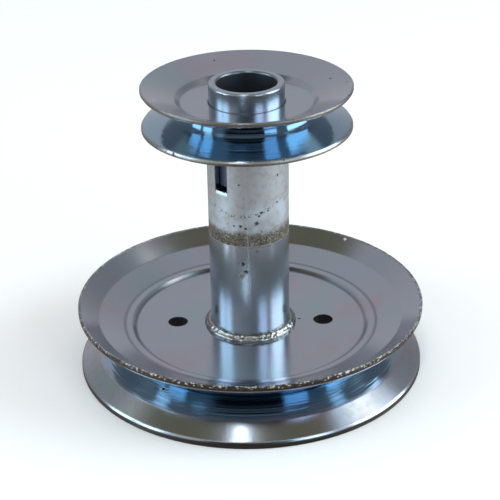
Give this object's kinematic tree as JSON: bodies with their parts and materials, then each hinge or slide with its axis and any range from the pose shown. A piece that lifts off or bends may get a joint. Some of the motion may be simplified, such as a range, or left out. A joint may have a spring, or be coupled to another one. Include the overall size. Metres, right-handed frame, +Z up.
{
  "type": "engine pulley",
  "caption": "Zinc-plated engine pulley: a small and a large pressed-steel V-belt pulley welded to a keyed hub tube that slides on an engine's shaft.",
  "frame": {"origin": "on the hub's axis, level with the lowest edge of the large pulley's rim, which it stands on", "axes": "+Z up along the hub's axis towards the small pulley's collar; the two disc holes lie along X; the key's window is at front left"},
  "size_m": [0.1524, 0.1524, 0.1307],
  "materials": {
    "hub_steel": "bright zinc plating on a drawn tube",
    "key_steel": "bright zinc plating",
    "lower_sheet": "bright zinc plating on pressed sheet",
    "upper_sheet": "bright zinc plating on pressed sheet",
    "weld_metal": "zinc plating over a rippled weld"
  },
  "bodies": {
    "root": {"hub_tube": "hub_steel", "drive_key": "key_steel", "lower_pulley_top_half": "lower_sheet", "lower_pulley_bottom_half": "lower_sheet", "upper_pulley_top_half": "upper_sheet", "upper_pulley_bottom_half": "upper_sheet", "lower_pulley_top_weld": "weld_metal", "lower_pulley_bottom_weld": "weld_metal", "upper_pulley_weld": "weld_metal"}
  },
  "joints": []
}
